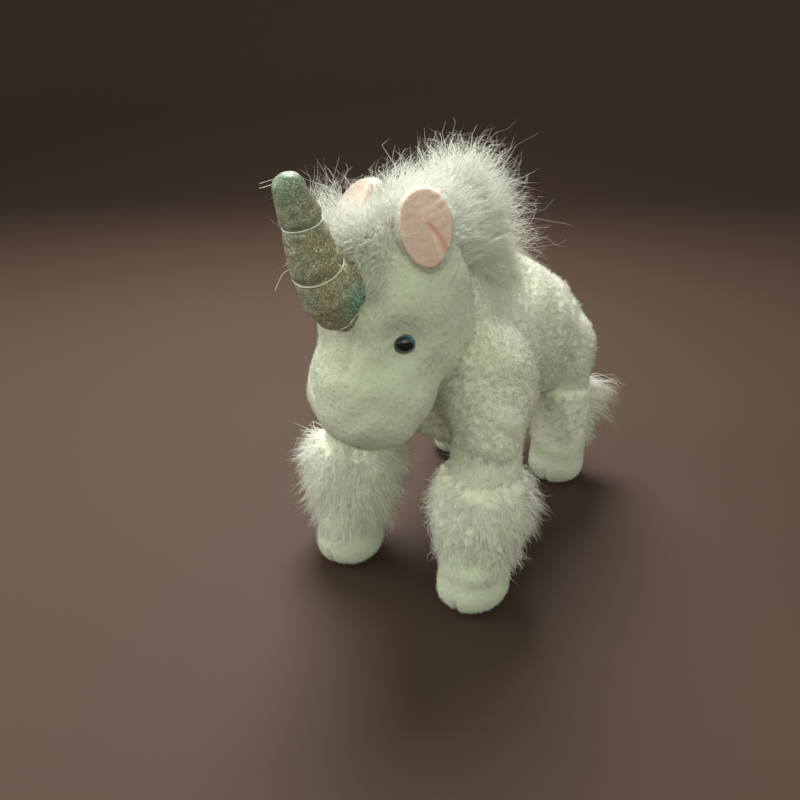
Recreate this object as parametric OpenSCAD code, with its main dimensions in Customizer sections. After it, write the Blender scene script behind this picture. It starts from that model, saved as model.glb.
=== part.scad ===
// Plush unicorn: a soft toy standing on four feet, sewn from pile fabric over
// polyester filling, with a cone horn, fur mane, fur leg cuffs and a fur tail.
// Millimetres, +Z up. The toy faces -Y and its own left side is +X.
// The origin lies on the floor under the middle of the toy.

/* [Body] */
// Radius of the chest
chest_r = 35; // [33:0.5:36]
// Radius of the rump
rump_r = 38; // [36:0.5:39]
// Height of the middle of the chest over the floor
chest_z = 95; // [94:0.5:97]
// Height of the middle of the rump over the floor
rump_z = 96; // [95:0.5:98]
// Distance from the middle of the chest to the middle of the rump
barrel_l = 62; // [58:1:64]
// Thickness of the sewn pile fabric with its backing
fabric_t = 1.5; // [1:0.1:2]

/* [Head] */
// How far the head is turned to the toy's right when it is at rest, degrees
head_turn = 14; // [12:1:15]
// Radius of the back of the head
skull_r = 29; // [27:0.5:29.5]
// Radius of the muzzle
muzzle_r = 19; // [17:0.5:19.5]
// Radius of the ball of filling in the neck
neck_r = 19; // [17:0.5:19.5]
// Diameter of a plastic safety eye
eye_d = 9; // [8:0.5:10]
// Width of the forehead gusset
gusset_w = 16; // [12:1:18]

/* [Horn] */
// Length of the horn from its seam to its tip
horn_l = 52; // [48:1:56]
// Radius of the horn at its seam
horn_base_r = 12; // [10:0.5:12.5]
// Radius of the horn near its blunt tip
horn_tip_r = 7; // [6:0.2:8]
// Lean of the horn forward from upright, degrees
horn_lean = 23; // [20:1:28]

/* [Ears] */
// Height of an ear
ear_h = 23; // [20:1:26]
// Width of an ear
ear_w = 18; // [15:1:18]
// Thickness of one fabric layer of an ear
ear_t = 1.6; // [1.2:0.1:2]

/* [Legs] */
// Distance between the left and right foot centres
stance_w = 68; // [66:1:70]
// Radius of a leg under the shoulder
leg_r = 14.5; // [13:0.5:15]
// Radius of the rounded leg top that turns in its pocket
leg_top_r = 15.5; // [14.5:0.5:16]
// Radius of a hoof
hoof_r = 17; // [16:0.5:17.5]
// Height of a hoof up to its seam
hoof_h = 24; // [20:1:26]
// Outer radius of a fur cuff
cuff_r = 20; // [18:0.5:20.5]
// Height of the top edge of a fur cuff over the floor
cuff_top = 62; // [56:1:63]

/* [Tail] */
// Radius of the hanging tail at its thick end
tail_r = 10; // [8:0.5:10]

/* [Hidden] */
$fn = 64;
eps = 0.01;
run = 0.6;                       // free space between pieces that move on each other
y_mid = -0.92;                   // puts the middle of the whole toy over the origin
chest = [0, -12, chest_z];
rump = [0, -12 + barrel_l, rump_z];
pivot = [0, -40, 118];           // middle of the neck
skull = [0, -61, 144];
muzzle = [0, -76, 101];
horn_base = [0, -89.6, 144.2];
front_hinge = [stance_w / 2, -44, 90];
rear_hinge = [stance_w / 2 - 1, 66, 92];
front_lean = 8.1;                // the front legs reach forward to the floor
rear_lean = -6.5;                // the rear legs reach back to the floor
front_foot = [stance_w / 2, -54];
rear_foot = [stance_w / 2 - 1, 74];
tail_root = [0, 88, 114];
ear_root = [19.3, -63.2, 167.6];
eye_dir = [24, -17, -17];        // from the middle of the skull out to the left eye
wad_y = 12;                      // where the chest and waist wads of filling meet
pouch_r = 10;
pouch_l = 26;
pouch_z = 78;

function len3(v) = sqrt(v[0] * v[0] + v[1] * v[1] + v[2] * v[2]);

// Turns +Z to the direction of v, then moves to p
module along(p, v) {
    l = len3(v);
    translate(p) rotate([0, acos(v[2] / l), atan2(v[1], v[0])]) children();
}

// Two balls joined by a cone
module pear(a, ra, b, rb) {
    translate(a) sphere(r = ra);
    translate(b) sphere(r = rb);
    along(a, b - a) cylinder(r1 = ra * 0.985, r2 = rb * 0.985, h = len3(b - a));
}

module in_place() { translate([0, y_mid, 0]) children(); }
module head_place() { in_place() translate(pivot) rotate([0, 0, -head_turn]) translate(-pivot) children(); }

// ---------------------------------------------------------------- body
module barrel(grow = 0) { pear(chest, chest_r + grow, rump, rump_r + grow); }

// Room for the neck, the leg tops, the swing of the legs and the tail tab
module body_room() {
    translate(pivot) sphere(r = neck_r + run);
    for (s = [-1, 1]) {
        translate([s * front_hinge[0], front_hinge[1], front_hinge[2]]) sphere(r = leg_top_r + run);
        translate([s * rear_hinge[0], rear_hinge[1], rear_hinge[2]]) sphere(r = leg_top_r + run);
        translate([s > 0 ? 11 : -71, -100, 0]) cube([60, 94, front_hinge[2] - 2]);
        translate([s > 0 ? 11 : -71, 30, 0]) cube([60, 94, rear_hinge[2] - 2]);
    }
    translate(tail_root) sphere(r = 5 + run);
}

module belly_zone() { translate([-11, -100, 0]) cube([22, 260, 78]); }

module body_skin() {
    difference() {
        barrel();
        barrel(-fabric_t);
        body_room();
    }
}

module body_left_panel() {
    color("ivory") in_place() difference() {
        body_skin();
        translate([-80, -120, 0]) cube([80, 300, 200]);
        belly_zone();
    }
}

module body_right_panel() {
    color("ivory") in_place() difference() {
        body_skin();
        translate([0, -120, 0]) cube([80, 300, 200]);
        belly_zone();
    }
}

module belly_panel() {
    color("floralwhite") in_place() intersection() {
        body_skin();
        belly_zone();
    }
}

// The filling is packed in as wads. The chest and the rump each take a wide wad above the leg tops
// and a narrow one between them, so each wad is a ball cut by flat planes alone.
module chest_wad(x0, x1, z0, z1) {
    color("white") in_place() difference() {
        intersection() {
            translate(chest) sphere(r = chest_r - fabric_t);
            translate([x0, -100, z0]) cube([x1 - x0, 100 + wad_y, z1 - z0]);
        }
        translate(pivot) sphere(r = neck_r + run);
    }
}

module chest_top_stuffing() { chest_wad(-60, 60, front_hinge[2] + leg_top_r + 1, 200); }
module chest_core_stuffing() { chest_wad(-11, 11, 0, front_hinge[2] + leg_top_r + 1); }

// The middle of the body is the cone between chest and rump alone
module waist_stuffing() {
    ra = (chest_r - fabric_t) * 0.985;
    rb = (rump_r - fabric_t) * 0.985;
    color("white") difference() {
        in_place() difference() {
            along(chest, rump - chest) cylinder(r1 = ra, r2 = rb, h = len3(rump - chest));
            translate([-100, wad_y - 300, -10]) cube([200, 300, 200]);
            translate([-100, rump[1] - 3, -10]) cube([200, 300, 200]);
            for (s = [-1, 1]) translate([s > 0 ? 11 : -71, 30, 0]) cube([60, 94, rear_hinge[2] - 2]);
        }
        pouch_place() cylinder(r = pouch_r, h = pouch_l + 1);
    }
}

module rump_wad(x0, x1, z0, z1) {
    color("white") in_place() intersection() {
        translate(rump) sphere(r = rump_r - fabric_t);
        translate([x0, rump[1] - 3, z0]) cube([x1 - x0, 100, z1 - z0]);
    }
}

module rump_top_stuffing() { rump_wad(-60, 60, rear_hinge[2] + leg_top_r + 1, 200); }
module rump_core_stuffing() { rump_wad(-11, 11, 0, rear_hinge[2] + leg_top_r + 1); }

module pouch_place() { in_place() translate([0, rump[1] - 3 - pouch_l, pouch_z]) rotate([-90, 0, 0]) children(); }

// Bag of plastic pellets that weighs the belly down
module pellet_pouch() { color("lightgray") pouch_place() cylinder(r = pouch_r, h = pouch_l); }

// Fur strip sewn along the middle of the neck and withers
module mane() {
    color("white") in_place() difference() {
        translate([7, 0, 0]) rotate([0, -90, 0]) linear_extrude(height = 14)
            polygon([[112, 0], [134, -14], [150, -16], [178, -17], [196, -11], [198, 1], [184, 20], [164, 38], [146, 52], [120, 56]]);
        barrel(0.02);
    }
}

// ---------------------------------------------------------------- neck
module neck_cover() {
    color("ivory") in_place() translate(pivot) difference() {
        sphere(r = neck_r);
        sphere(r = neck_r - fabric_t);
    }
}

module neck_stuffing() { color("white") in_place() translate(pivot) sphere(r = neck_r - fabric_t); }

// ---------------------------------------------------------------- head
module head_form(grow = 0) { pear(skull, skull_r + grow, muzzle, muzzle_r + grow); }

module eye_axes(side) {
    p = [side * eye_dir[0], eye_dir[1], eye_dir[2]];
    along(skull + p * ((skull_r) / len3(p)), p) children();
}

module eye_holes(r) {
    for (s = [-1, 1]) eye_axes(s) translate([0, 0, -12]) cylinder(r = r, h = 24);
}

// Pressed-in seat for the disc of the eye
eye_seat = 1.1;
module eye_recess() {
    for (s = [-1, 1]) eye_axes(s) translate([0, 0, eye_seat]) cylinder(r = eye_d / 2 + 0.1, h = 6);
}

module head_skin() {
    difference() {
        head_form();
        head_form(-fabric_t);
        translate(pivot) sphere(r = neck_r + run);
        eye_holes(1.6);
        eye_recess();
    }
}

// In front of the plane through skull and muzzle
module gusset_zone() { translate([-gusset_w / 2, -140, 118]) cube([gusset_w, 84, 80]); }
module chin_zone() { translate([-gusset_w / 2, -140, 60]) cube([gusset_w, 110, 36]); }

module face_side(s) {
    color("ivory") head_place() difference() {
        head_skin();
        translate([s > 0 ? -80 : 0, -160, 40]) cube([80, 200, 180]);
        gusset_zone();
        chin_zone();
    }
}

module face_left_panel() { face_side(1); }
module face_right_panel() { face_side(-1); }

module face_gusset() {
    color("floralwhite") head_place() intersection() {
        head_skin();
        gusset_zone();
    }
}

module chin_panel() {
    color("floralwhite") head_place() intersection() {
        head_skin();
        chin_zone();
    }
}

module head_stuffing() {
    color("white") head_place() difference() {
        head_form(-fabric_t);
        translate(pivot) sphere(r = neck_r + run);
        eye_holes(1.6);
        eye_recess();
        for (s = [-1, 1]) eye_axes(s) translate([0, 0, -6.2]) cylinder(r = 6, h = 5);
    }
}

// A safety eye: a domed face on a stem that goes through the fabric
module eye(s) {
    color([0.02, 0.05, 0.08]) head_place() eye_axes(s) {
        translate([0, 0, eye_seat + 0.1]) intersection() {
            translate([0, 0, -1.2]) sphere(r = eye_d / 2 + 0.4);
            cylinder(r = eye_d / 2, h = 10);
        }
        translate([0, 0, -9]) cylinder(r = 1.6, h = eye_seat + 9.3);
    }
}

module eye_washer(s) {
    color("gainsboro") head_place() eye_axes(s) translate([0, 0, -6]) difference() {
        cylinder(r = 6, h = 1.4);
        translate([0, 0, -1]) cylinder(r = 1.6, h = 4);
    }
}

module eye_left() { eye(1); }
module eye_right() { eye(-1); }
module eye_washer_left() { eye_washer(1); }
module eye_washer_right() { eye_washer(-1); }

// Short stitched line of thread under the muzzle
module mouth_stitch() {
    color("tan") head_place() along(muzzle, [0, -10, -17]) translate([0, 0, muzzle_r + 0.5])
        rotate([0, 90, 0]) translate([0, 0, -6]) cylinder(r = 0.45, h = 12);
}

// Fur between the ears, behind the horn
module forelock() {
    color("white") head_place() intersection() {
        difference() {
            translate(skull) sphere(r = skull_r + 15);
            translate(skull) sphere(r = skull_r + 0.1);
        }
        translate([-4.8, -80, 160]) cube([9.6, 27, 60]);
    }
}

// Fur behind the ears, down the back of the head
module crest() {
    color("white") head_place() intersection() {
        difference() {
            translate(skull) sphere(r = skull_r + 18);
            translate(skull) sphere(r = skull_r + 0.1);
        }
        translate([-8, -52.8, 164]) cube([16, 9.8, 60]);
    }
}

// ---------------------------------------------------------------- horn
module horn_axes() { head_place() translate(horn_base) rotate([horn_lean, 0, 0]) children(); }

module horn_form(grow = 0) {
    rotate_extrude() polygon(concat([[0, -8]],
        [[horn_base_r + grow, -8]],
        [for (t = [0 : 0.1 : 1]) [horn_base_r + grow - (horn_base_r - horn_tip_r) * pow(t, 1.1), t * (horn_l - horn_tip_r)]],
        [for (a = [15 : 15 : 90]) [(horn_tip_r + grow) * cos(a), horn_l - horn_tip_r + (horn_tip_r + grow) * sin(a)]]));
}

module horn_seat() { head_place() translate(skull) sphere(r = skull_r + 3.2); }

module horn_cover() {
    color([0.55, 0.56, 0.45]) difference() {
        horn_axes() horn_form();
        horn_axes() horn_form(-1);
        horn_seat();
    }
}

module horn_stuffing() {
    color("white") difference() {
        horn_axes() horn_form(-1);
        horn_seat();
    }
}

// Thread wound round the horn at three heights, pulled into the fabric
module horn_thread() {
    color("whitesmoke") horn_axes() for (t = [0.42, 0.72])
        translate([0, 0, t * horn_l])
            rotate_extrude() translate([horn_base_r - (horn_base_r - horn_tip_r) * pow(t * horn_l / (horn_l - horn_tip_r), 1.1) + 0.45, 0]) circle(r = 0.4, $fn = 24);
}

// ---------------------------------------------------------------- ears
module ear_axes(s) {
    head_place() translate([s * ear_root[0], ear_root[1], ear_root[2]])
        rotate([-22.7, -s, s * 41.8]) children();
}

module ear_plate(y0) {
    translate([0, y0 + ear_t, 0]) rotate([90, 0, 0]) linear_extrude(height = ear_t)
        polygon([for (i = [0 : 39]) let (a = i * 9)
            [ear_w / 2 * cos(a) * (1 - 0.12 * (1 - sin(a)) / 2), ear_h / 2 + 2.5 + ear_h / 2 * sin(a)]]);
}

module ear_left_back() { color("ivory") ear_axes(1) ear_plate(0); }
module ear_left_lining() { color([0.93, 0.74, 0.70]) ear_axes(1) ear_plate(-ear_t); }
module ear_right_back() { color("ivory") ear_axes(-1) ear_plate(0); }
module ear_right_lining() { color([0.93, 0.74, 0.70]) ear_axes(-1) ear_plate(-ear_t); }

// ---------------------------------------------------------------- legs
module leg_axes(hinge, lean, s) { in_place() translate([s * hinge[0], hinge[1], hinge[2]]) rotate([180 - lean, 0, 0]) children(); }

// Along the leg from its hinge: a round top, then a slightly widening leg
module leg_form(grow, reach) {
    sphere(r = leg_top_r + grow);
    cylinder(r1 = leg_r - 1.5 + grow, r2 = leg_r + grow, h = reach);
}

module floor_cut(h) { in_place() translate([-100, -150, -50]) cube([200, 320, 50 + h]); }

module leg_cover(hinge, lean, s) {
    color("ivory") difference() {
        leg_axes(hinge, lean, s) difference() {
            leg_form(0, hinge[2] - hoof_h + 6);
            leg_form(-fabric_t, hinge[2] - hoof_h + 12);
        }
        floor_cut(hoof_h);
    }
}

module leg_stuffing(hinge, lean, s) {
    color("white") difference() {
        leg_axes(hinge, lean, s) leg_form(-fabric_t, hinge[2] - hoof_h + 12);
        floor_cut(hoof_h);
    }
}

module cuff(hinge, lean, s) {
    top = hinge[2] - cuff_top;
    color("white") leg_axes(hinge, lean, s) difference() {
        rotate_extrude() polygon([[0, top], [cuff_r - 3, top], [cuff_r, top + 4], [cuff_r, top + 26], [cuff_r - 2, top + 33], [0, top + 33]]);
        translate([0, 0, 0]) cylinder(r1 = leg_r - 1.5, r2 = leg_r, h = hinge[2] - hoof_h + 6);
    }
}

// Hoof with a flat sole and a softly rounded edge
module hoof(foot, s) {
    e = 6;
    color("ivory") in_place() translate([s * foot[0], foot[1], 0]) rotate_extrude()
        polygon(concat([[0, 0]],
            [for (a = [-90 : 15 : 0]) [hoof_r - e + e * cos(a), e + e * sin(a)]],
            [[hoof_r, hoof_h - 8], [hoof_r - 1.2, hoof_h - 2], [hoof_r - 2.5, hoof_h], [0, hoof_h]]));
}

module front_left_leg_cover() { leg_cover(front_hinge, front_lean, 1); }
module front_left_leg_stuffing() { leg_stuffing(front_hinge, front_lean, 1); }
module front_left_cuff() { cuff(front_hinge, front_lean, 1); }
module front_left_hoof() { hoof(front_foot, 1); }
module front_right_leg_cover() { leg_cover(front_hinge, front_lean, -1); }
module front_right_leg_stuffing() { leg_stuffing(front_hinge, front_lean, -1); }
module front_right_cuff() { cuff(front_hinge, front_lean, -1); }
module front_right_hoof() { hoof(front_foot, -1); }
module rear_left_leg_cover() { leg_cover(rear_hinge, rear_lean, 1); }
module rear_left_leg_stuffing() { leg_stuffing(rear_hinge, rear_lean, 1); }
module rear_left_cuff() { cuff(rear_hinge, rear_lean, 1); }
module rear_left_hoof() { hoof(rear_foot, 1); }
module rear_right_leg_cover() { leg_cover(rear_hinge, rear_lean, -1); }
module rear_right_leg_stuffing() { leg_stuffing(rear_hinge, rear_lean, -1); }
module rear_right_cuff() { cuff(rear_hinge, rear_lean, -1); }
module rear_right_hoof() { hoof(rear_foot, -1); }

// ---------------------------------------------------------------- tail
module tail_tab() {
    color("ivory") in_place() {
        translate(tail_root) sphere(r = 5);
        along(tail_root, [0, 12, -6]) cylinder(r = 3, h = 9);
    }
}

module tail_hair() {
    color("white") in_place() difference() {
        pear([0, 99, 105], tail_r - 1.5, [0, 105, 52], tail_r);
        translate(tail_root) sphere(r = 5.02);
        along(tail_root, [0, 12, -6]) cylinder(r = 3, h = 9);
    }
}

// ---------------------------------------------------------------- parts
body_left_panel();
body_right_panel();
belly_panel();
chest_top_stuffing();
chest_core_stuffing();
waist_stuffing();
rump_top_stuffing();
rump_core_stuffing();
pellet_pouch();
mane();
neck_cover();
neck_stuffing();
face_left_panel();
face_right_panel();
face_gusset();
chin_panel();
head_stuffing();
eye_left();
eye_right();
eye_washer_left();
eye_washer_right();
mouth_stitch();
forelock();
crest();
horn_cover();
horn_stuffing();
horn_thread();
ear_left_back();
ear_left_lining();
ear_right_back();
ear_right_lining();
front_left_leg_cover();
front_left_leg_stuffing();
front_left_cuff();
front_left_hoof();
front_right_leg_cover();
front_right_leg_stuffing();
front_right_cuff();
front_right_hoof();
rear_left_leg_cover();
rear_left_leg_stuffing();
rear_left_cuff();
rear_left_hoof();
rear_right_leg_cover();
rear_right_leg_stuffing();
rear_right_cuff();
rear_right_hoof();
tail_hair();
tail_tab();
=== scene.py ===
"""The looks of a plush unicorn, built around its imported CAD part."""

import math

import bpy
import numpy as np
from mathutils import Matrix, Vector


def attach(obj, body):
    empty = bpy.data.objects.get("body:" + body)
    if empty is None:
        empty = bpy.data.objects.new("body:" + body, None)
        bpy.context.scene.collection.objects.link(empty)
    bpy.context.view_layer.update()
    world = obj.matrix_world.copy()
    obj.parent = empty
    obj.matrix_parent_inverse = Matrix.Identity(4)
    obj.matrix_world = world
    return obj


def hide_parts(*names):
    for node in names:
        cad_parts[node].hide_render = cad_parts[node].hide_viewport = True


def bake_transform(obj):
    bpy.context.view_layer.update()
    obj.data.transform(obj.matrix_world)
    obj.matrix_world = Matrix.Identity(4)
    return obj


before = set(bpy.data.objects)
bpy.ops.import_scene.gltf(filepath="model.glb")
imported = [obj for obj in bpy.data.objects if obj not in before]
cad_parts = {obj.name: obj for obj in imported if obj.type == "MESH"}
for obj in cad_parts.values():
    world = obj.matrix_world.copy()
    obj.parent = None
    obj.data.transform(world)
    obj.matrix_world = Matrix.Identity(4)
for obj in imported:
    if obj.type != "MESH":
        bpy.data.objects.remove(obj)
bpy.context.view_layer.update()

MM = 0.001
Y_MID = -0.92
PIVOT = np.array([0.0, -40 + Y_MID, 118.0])
TURN = math.radians(-14)
DENSE = 1.0

# ---------------------------------------------------------------- small maths


def unit(v):
    v = np.asarray(v, float)
    return v / np.maximum(np.linalg.norm(v, axis=-1, keepdims=True), 1e-12)


def turn_z(p, angle, about=PIVOT):
    c, s = math.cos(angle), math.sin(angle)
    q = np.asarray(p, float) - about
    out = q.copy()
    out[..., 0] = c * q[..., 0] - s * q[..., 1]
    out[..., 1] = s * q[..., 0] + c * q[..., 1]
    return out + about


def turn_vec(v, angle):
    return turn_z(v, angle, np.zeros(3))


def from_head(p):
    """Head frame, before the head is turned, to the row frame, in millimetres."""
    q = np.array(p, float)
    q[..., 1] += Y_MID
    return turn_z(q, TURN)


def to_head(p):
    q = turn_z(p, -TURN)
    q[..., 1] -= Y_MID
    return q


def raw(p):
    q = np.array(p, float)
    q[..., 1] -= Y_MID
    return q


def smooth(t):
    t = np.clip(t, 0, 1)
    return t * t * (3 - 2 * t)


def waves(p, wavelength, count, seed):
    """A smooth random field of about unit size, from plane waves."""
    r = np.random.default_rng(seed)
    out = np.zeros(len(p))
    for _ in range(count):
        k = unit(r.normal(size=3)) * 2 * math.pi / (wavelength * r.uniform(0.75, 1.35))
        out += np.sin(p @ k + r.uniform(0, 2 * math.pi))
    return out * math.sqrt(2 / count)


# ---------------------------------------------------------------- shapes as distances


def smin(a, b, k):
    h = np.clip(0.5 + 0.5 * (b - a) / k, 0, 1)
    return b * (1 - h) + a * h - k * h * (1 - h)


def smax(a, b, k):
    return -smin(-a, -b, k)


def ball(p, c, r):
    return np.linalg.norm(p - np.array(c, float), axis=1) - r


def egg(p, c, r):
    q = p - np.array(c, float)
    r = np.array(r, float)
    k0 = np.linalg.norm(q / r, axis=1)
    k1 = np.linalg.norm(q / (r * r), axis=1)
    return k0 * (k0 - 1) / np.maximum(k1, 1e-9)


def limb(p, a, b, ra, rb):
    a, b = np.array(a, float), np.array(b, float)
    d = b - a
    t = np.clip(((p - a) @ d) / (d @ d), 0, 1)
    return np.linalg.norm(p - a - t[:, None] * d, axis=1) - (ra + (rb - ra) * t)


def slab_round(p, c, rx, ry, z0, z1, edge):
    """An upright oval column with rounded edges."""
    q = p - np.array([c[0], c[1], 0.0])
    scale = min(rx, ry)
    d = (np.hypot(q[:, 0] / rx, q[:, 1] / ry) - 1) * scale + edge
    mid, half = (z0 + z1) / 2, (z1 - z0) / 2 - edge
    e = np.abs(q[:, 2] - mid) - half
    return (
        np.minimum(np.maximum(d, e), 0)
        + np.hypot(np.maximum(d, 0), np.maximum(e, 0))
        - edge
    )


def gradient(f, p, eps=0.06):
    g = np.zeros_like(p)
    for a in range(3):
        d = np.zeros(3)
        d[a] = eps
        g[:, a] = (f(p + d) - f(p - d)) / (2 * eps)
    return g


def net(f, lo, hi, h, settle=3):
    """The zero surface of f as vertices and quads, pulled onto the surface."""
    xs = [np.arange(a, b + h, h) for a, b in zip(lo, hi)]
    grid = np.stack(np.meshgrid(*xs, indexing="ij"), -1)
    shape = grid.shape[:3]
    values = f(grid.reshape(-1, 3)).reshape(shape)
    inside = values < 0
    cells = tuple(n - 1 for n in shape)
    total = np.zeros(cells + (3,))
    count = np.zeros(cells)
    quads = []

    def flat(c):
        return (c[:, 0] * cells[1] + c[:, 1]) * cells[2] + c[:, 2]

    for ax in range(3):
        a, b = [slice(None)] * 3, [slice(None)] * 3
        a[ax], b[ax] = slice(0, -1), slice(1, None)
        f0, f1 = values[tuple(a)], values[tuple(b)]
        cross = inside[tuple(a)] != inside[tuple(b)]
        idx = np.argwhere(cross)
        if len(idx) == 0:
            continue
        f0, f1 = f0[cross], f1[cross]
        pts = np.stack([xs[d][idx[:, d]] for d in range(3)], -1).astype(float)
        pts[:, ax] += f0 / (f0 - f1) * h
        o1, o2 = [d for d in range(3) if d != ax]
        for u in (0, 1):
            for v in (0, 1):
                c = idx.copy()
                c[:, o1] -= u
                c[:, o2] -= v
                ok = (
                    (c[:, o1] >= 0)
                    & (c[:, o2] >= 0)
                    & (c[:, o1] < cells[o1])
                    & (c[:, o2] < cells[o2])
                )
                np.add.at(total, tuple(c[ok].T), pts[ok])
                np.add.at(count, tuple(c[ok].T), 1)
        ok = (
            (idx[:, o1] > 0)
            & (idx[:, o2] > 0)
            & (idx[:, o1] < cells[o1])
            & (idx[:, o2] < cells[o2])
        )
        base = idx[ok]
        first = inside[tuple(base.T)]
        c00, c10, c01 = base.copy(), base.copy(), base.copy()
        c00[:, o1] -= 1
        c00[:, o2] -= 1
        c10[:, o2] -= 1
        c01[:, o1] -= 1
        q = np.stack([flat(c00), flat(c10), flat(base), flat(c01)], 1)
        flip = ~first if ax != 1 else first
        q[flip] = q[flip][:, ::-1]
        quads.append(q)
    quads = np.concatenate(quads)
    used = np.zeros(cells[0] * cells[1] * cells[2], bool)
    used[quads.ravel()] = True
    number = np.cumsum(used) - 1
    verts = (total.reshape(-1, 3) / np.maximum(count.reshape(-1, 1), 1))[used]
    quads = number[quads]
    for _ in range(settle):
        g = gradient(f, verts)
        step = (f(verts) / np.maximum((g * g).sum(1), 0.05))[:, None] * g
        n = np.linalg.norm(step, axis=1, keepdims=True)
        verts -= step * np.minimum(1, h * 0.5 / np.maximum(n, 1e-9))
    return verts, quads


# ---------------------------------------------------------------- meshes


def mesh_object(name, verts, polys, mats, mat_index=None, smooth_faces=True):
    """verts in millimetres in the row frame; polys is a list of arrays of equal-sided faces."""
    mesh = bpy.data.meshes.new(name)
    verts = np.asarray(verts, float) * MM
    sides = np.concatenate([np.full(len(p), p.shape[1]) for p in polys])
    loops = np.concatenate([p.ravel() for p in polys])
    starts = np.concatenate([[0], np.cumsum(sides)[:-1]])
    mesh.vertices.add(len(verts))
    mesh.vertices.foreach_set("co", verts.astype(np.float32).ravel())
    mesh.loops.add(len(loops))
    mesh.loops.foreach_set("vertex_index", loops.astype(np.int32))
    mesh.polygons.add(len(sides))
    mesh.polygons.foreach_set("loop_start", starts.astype(np.int32))
    for m in mats:
        mesh.materials.append(m)
    if mat_index is not None:
        mesh.polygons.foreach_set("material_index", np.asarray(mat_index, np.int32))
    mesh.update(calc_edges=True)
    mesh.validate()
    mesh.shade_smooth() if smooth_faces else mesh.shade_flat()
    obj = bpy.data.objects.new(name, mesh)
    bpy.context.scene.collection.objects.link(obj)
    return obj


def skin(name, f, lo, hi, h, mats, shape=None):
    verts, quads = net(f, lo, hi, h)
    if shape is not None:
        g = unit(gradient(f, verts))
        verts = shape(verts, g)
    obj = mesh_object(name, verts, [quads], mats)
    return obj, verts, quads


def scatter(verts, quads, n, rng, keep=None):
    """n random points on the quads, by area."""
    a, b, c, d = (verts[quads[:, i]] for i in range(4))
    area = np.linalg.norm(np.cross(c - a, d - b), axis=1) / 2
    if keep is not None:
        area = area * keep((a + b + c + d) / 4)
    pick = rng.choice(len(quads), size=n, p=area / area.sum())
    u, v = rng.random((n, 1)), rng.random((n, 1))
    return (
        a[pick] * (1 - u) * (1 - v)
        + b[pick] * u * (1 - v)
        + c[pick] * u * v
        + d[pick] * (1 - u) * v
    )


def strands(name, paths, radius, mats, share=None, seed=1, taper=0.75):
    """Hair as closed three-sided spikes. paths is (n, k, 3) in millimetres, root first."""
    rng = np.random.default_rng(seed)
    n, k, _ = paths.shape
    t = unit(np.diff(paths, axis=1))
    t = np.concatenate([t, t[:, -1:]], 1)
    t[:, 1:-1] = unit(t[:, 1:-1] + t[:, :-2])
    ref = unit(rng.normal(size=(n, 1, 3)))
    u = unit(np.cross(t, ref))
    v = np.cross(t, u)
    radius = np.broadcast_to(np.asarray(radius, float), (n,))
    rings = []
    for i in range(k - 1):
        w = radius * (1 - taper * (i / (k - 1)) ** 1.3)
        for a in range(3):
            angle = a * 2 * math.pi / 3
            rings.append(
                paths[:, i]
                + w[:, None] * (math.cos(angle) * u[:, i] + math.sin(angle) * v[:, i])
            )
    rings.append(paths[:, -1])
    verts = np.stack(rings, 1)
    per = verts.shape[1]
    first = np.arange(n)[:, None] * per
    tris, quads = [[0, 2, 1]], []
    for i in range(k - 2):
        for a in range(3):
            b = (a + 1) % 3
            quads.append([3 * i + a, 3 * i + b, 3 * i + 3 + b, 3 * i + 3 + a])
    for a in range(3):
        tris.append([3 * (k - 2) + a, 3 * (k - 2) + (a + 1) % 3, per - 1])
    tri = (first[:, :, None] + np.array(tris)[None]).reshape(-1, 3)
    polys = [tri]
    which = np.zeros(n, int)
    if share is not None:
        which = rng.choice(len(mats), size=n, p=np.array(share) / sum(share))
    index = [np.repeat(which, len(tris))]
    if quads:
        polys.append((first[:, :, None] + np.array(quads)[None]).reshape(-1, 4))
        index.append(np.repeat(which, len(quads)))
    return mesh_object(name, verts.reshape(-1, 3), polys, mats, np.concatenate(index))


def hair_paths(
    roots,
    direction,
    length,
    k,
    rng,
    bend=(0, 0, 0),
    curl=0.0,
    clump=0.0,
    clump_size=6.0,
    frizz=0.06,
    stray=0.1,
    turns=(0.6, 1.7),
):
    """Paths of hairs that leave along direction, bend, curl and gather to clumps."""
    n = len(roots)
    direction = unit(direction)
    length = np.broadcast_to(np.asarray(length, float), (n,))
    bend = np.broadcast_to(np.asarray(bend, float), (n, 3))
    s = np.linspace(0, 1, k)[None, :, None]
    ln = length[:, None, None]
    line = direction[:, None] * s * ln + bend[:, None] * (s**2) * ln
    u = unit(np.cross(direction, unit(rng.normal(size=(n, 3)))))
    v = np.cross(direction, u)
    if curl:
        phase = rng.uniform(0, 2 * math.pi, (n, 1, 1))
        turns = rng.uniform(*turns, (n, 1, 1)) * 2 * math.pi
        line = line + curl * s * (
            u[:, None] * np.cos(phase + turns * s)
            + v[:, None] * np.sin(phase + turns * s)
        )
    line = (
        line
        + rng.normal(size=(n, 1, 3)) * frizz * ln * s
        + rng.normal(size=(n, k, 3)) * frizz * 0.35 * ln * s
    )
    if clump:
        m = max(3, int(n * 0.0 + (np.ptp(roots, 0).prod() ** (1 / 3) / clump_size) ** 2 * 4))
        m = min(m, n // 6 + 1)
        centre = rng.choice(n, m, replace=False)
        near = np.zeros(n, int)
        for i in range(0, n, 4000):
            d = ((roots[i : i + 4000, None] - roots[centre][None]) ** 2).sum(-1)
            near[i : i + 4000] = d.argmin(1)
        lead = centre[near]
        lean = roots[lead][:, None] - roots[:, None] + line[lead] - line
        hold = np.where(rng.random((n, 1, 1)) < stray, 0.1, clump)
        line = line + lean * hold * s**1.4
    return roots[:, None] + line


# ---------------------------------------------------------------- materials


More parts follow.
